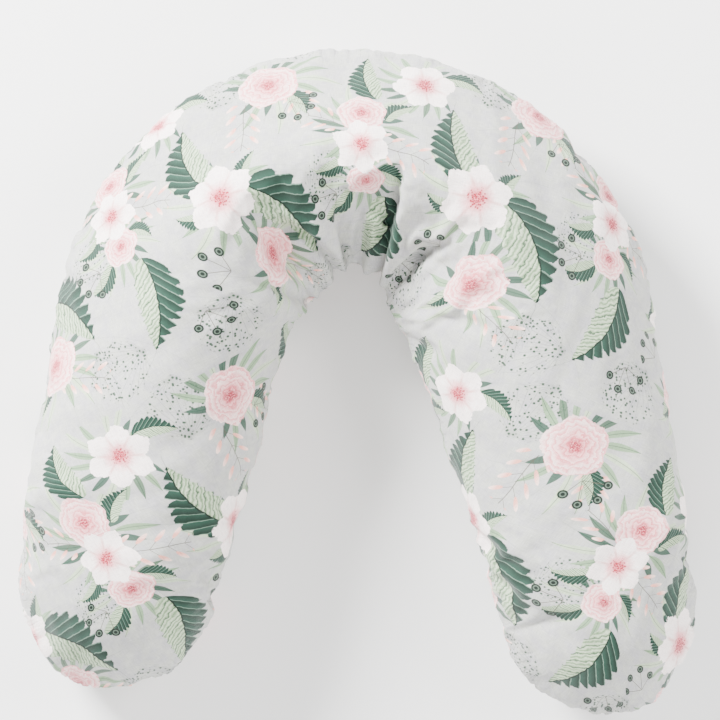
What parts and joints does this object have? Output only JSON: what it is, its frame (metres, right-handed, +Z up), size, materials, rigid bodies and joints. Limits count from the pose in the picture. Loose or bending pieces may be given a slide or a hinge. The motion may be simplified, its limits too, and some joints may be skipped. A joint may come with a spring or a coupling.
{
  "type": "nursing pillow",
  "caption": "Long stuffed tube bent into a U that wraps a parent's waist, with a zipped removable printed cloth cover over a sewn fibre-filled casing.",
  "frame": {"origin": "centre of the footprint box, on the surface the pillow rests on", "axes": "+Z up, out of the upper panel; the bend is towards +Y and both arms point along -Y; the arm with the zip is on the +X side"},
  "size_m": [0.6804, 0.6679, 0.19],
  "materials": {
    "printed_cotton": "matt plain-weave cotton, printed with roses, blossoms and leaves",
    "overlock_thread": "spun polyester thread",
    "casing_cloth": "white plain-weave polyester",
    "casing_thread": "white spun polyester thread",
    "fibre_fill": "loose white siliconised polyester fibre",
    "zip_tape": "woven polyester tape",
    "zip_coil": "dyed nylon monofilament",
    "zip_metal": "plain stamped",
    "slider_enamel": "baked enamel on die-cast zinc",
    "label_satin": "woven satin ribbon, blank"
  },
  "bodies": {
    "right_arm": {"cover_top_right": "printed_cotton", "cover_bottom_right": "printed_cotton", "cover_seam_thread_right": "overlock_thread", "casing_top_right": "casing_cloth", "casing_bottom_right": "casing_cloth", "casing_seam_thread_right": "casing_thread", "fill_right": "fibre_fill", "zip_tape_upper": "zip_tape", "zip_tape_lower": "zip_tape", "zip_coil_upper": "zip_coil", "zip_coil_lower": "zip_coil", "zip_top_stops": "zip_metal", "zip_bottom_stop": "zip_metal", "zip_bar_tacks": "overlock_thread", "zip_underlap": "printed_cotton", "cover_label": "label_satin"},
    "left_arm": {"cover_top_left": "printed_cotton", "cover_bottom_left": "printed_cotton", "cover_seam_thread_left": "overlock_thread", "casing_top_left": "casing_cloth", "casing_bottom_left": "casing_cloth", "casing_seam_thread_left": "casing_thread", "fill_left": "fibre_fill"},
    "slider": {"zip_slider": "slider_enamel"},
    "pull_tab": {"zip_pull": "slider_enamel"}
  },
  "joints": [
    {"name": "arm_bend", "type": "hinge", "parent": "right_arm", "child": "left_arm", "pos_m": [-0.0027, 0.21901, 0.075], "axis": [0, 0, 1], "range_deg": [-35, 18]},
    {"name": "zip_slide", "type": "slide", "parent": "right_arm", "child": "slider", "axis": [-0.1614, 0.9866, -0.0251], "range_m": [0, 0.268]},
    {"name": "pull_swing", "type": "hinge", "parent": "slider", "child": "pull_tab", "pos_m": [0.32607, -0.19251, 0.02657], "axis": [-0.4592, -0.0976, -0.8829], "range_deg": [0, 176]}
  ]
}
